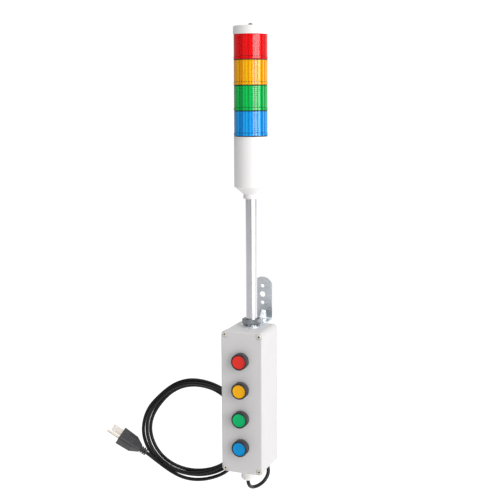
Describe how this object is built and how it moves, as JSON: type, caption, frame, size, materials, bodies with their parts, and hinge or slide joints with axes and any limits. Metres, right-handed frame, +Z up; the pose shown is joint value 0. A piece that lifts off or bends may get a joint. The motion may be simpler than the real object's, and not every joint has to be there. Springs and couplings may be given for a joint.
{
  "type": "stack light",
  "caption": "Wall-mounted stack light: stacked coloured lamp tiers on an aluminium pole, clamped with an angle bracket over a push-button box with a cable gland and a coiled mains lead.",
  "frame": {"origin": "centre of the wall bracket's middle hole, on its wall face", "axes": "+Z up along the pole, +Y into the wall, push buttons face -Y, +X to the right seen from the front"},
  "size_m": [0.3304, 0.1187, 0.8153],
  "materials": {
    "bezel_plastic": "charcoal, knurled",
    "black_rubber": "matt",
    "blade_nickel": "nickel plated brass",
    "board_laminate": "white solder mask",
    "box_plastic": "fine moulded texture, light grey",
    "button_cap_blue": "moulded, satin",
    "button_cap_green": "moulded, satin",
    "button_cap_red": "moulded, satin",
    "button_cap_yellow": "moulded, satin",
    "contact_plastic": "moulded",
    "cord_jacket": "smooth vinyl, slight gloss",
    "gland_nylon": "moulded nylon",
    "lens_amber": "clear amber, ribbed",
    "lens_blue": "clear blue, ribbed",
    "lens_green": "clear green, ribbed",
    "lens_red": "clear red, ribbed",
    "nut_nickel": "nickel plated",
    "plug_vinyl": "moulded vinyl",
    "pole_aluminium": "drawn, clear anodised",
    "screw_nylon": "moulded polyamide, cream",
    "screw_steel": "zinc plated",
    "spring_steel": "drawn wire",
    "white_plastic": "moulded, satin white",
    "zinc_plate": "bright blue-white zinc"
  },
  "bodies": {
    "stand": {"bezel_blue": "bezel_plastic", "bezel_gaskets": "black_rubber", "bezel_green": "bezel_plastic", "bezel_red": "bezel_plastic", "bezel_yellow": "bezel_plastic", "contact_block_blue": "contact_plastic", "contact_block_green": "contact_plastic", "contact_block_red": "contact_plastic", "contact_block_yellow": "contact_plastic", "cord_coil": "cord_jacket", "cord_lead": "cord_jacket", "cord_tail": "cord_jacket", "driver_board": "board_laminate", "earth_pin": "blade_nickel", "enclosure_base": "box_plastic", "enclosure_lid": "box_plastic", "gland_body": "gland_nylon", "gland_dome": "gland_nylon", "gland_locknut": "gland_nylon", "gland_seal": "black_rubber", "lamp_board_amber": "board_laminate", "lamp_board_blue": "board_laminate", "lamp_board_green": "board_laminate", "lamp_board_red": "board_laminate", "lens_amber": "lens_amber", "lens_blue": "lens_blue", "lens_green": "lens_green", "lens_red": "lens_red", "lid_gasket": "black_rubber", "lid_screws": "screw_nylon", "plug_blades": "blade_nickel", "plug_body": "plug_vinyl", "pole": "pole_aluminium", "pole_locknut": "nut_nickel", "pole_nut": "nut_nickel", "return_spring_blue": "spring_steel", "return_spring_green": "spring_steel", "return_spring_red": "spring_steel", "return_spring_yellow": "spring_steel", "ring_nuts": "bezel_plastic", "tie_rod": "screw_steel", "tier_seals": "black_rubber", "tooth_washer": "zinc_plate", "tower_body": "white_plastic", "tower_cap": "white_plastic", "tower_deck": "white_plastic", "wall_bracket": "zinc_plate"},
    "push_red": {"button_red": "button_cap_red"},
    "push_yellow": {"button_yellow": "button_cap_yellow"},
    "push_green": {"button_green": "button_cap_green"},
    "push_blue": {"button_blue": "button_cap_blue"}
  },
  "joints": [
    {"name": "press_red", "type": "slide", "parent": "stand", "child": "push_red", "axis": [0, 1, 0], "range_m": [0, 0.0036], "stiffness_N_per_m": 900, "springref_m": -0.004, "deforming": ["return_spring_red"]},
    {"name": "press_yellow", "type": "slide", "parent": "stand", "child": "push_yellow", "axis": [0, 1, 0], "range_m": [0, 0.0036], "stiffness_N_per_m": 900, "springref_m": -0.004, "deforming": ["return_spring_yellow"]},
    {"name": "press_green", "type": "slide", "parent": "stand", "child": "push_green", "axis": [0, 1, 0], "range_m": [0, 0.0036], "stiffness_N_per_m": 900, "springref_m": -0.004, "deforming": ["return_spring_green"]},
    {"name": "press_blue", "type": "slide", "parent": "stand", "child": "push_blue", "axis": [0, 1, 0], "range_m": [0, 0.0036], "stiffness_N_per_m": 900, "springref_m": -0.004, "deforming": ["return_spring_blue"]}
  ]
}
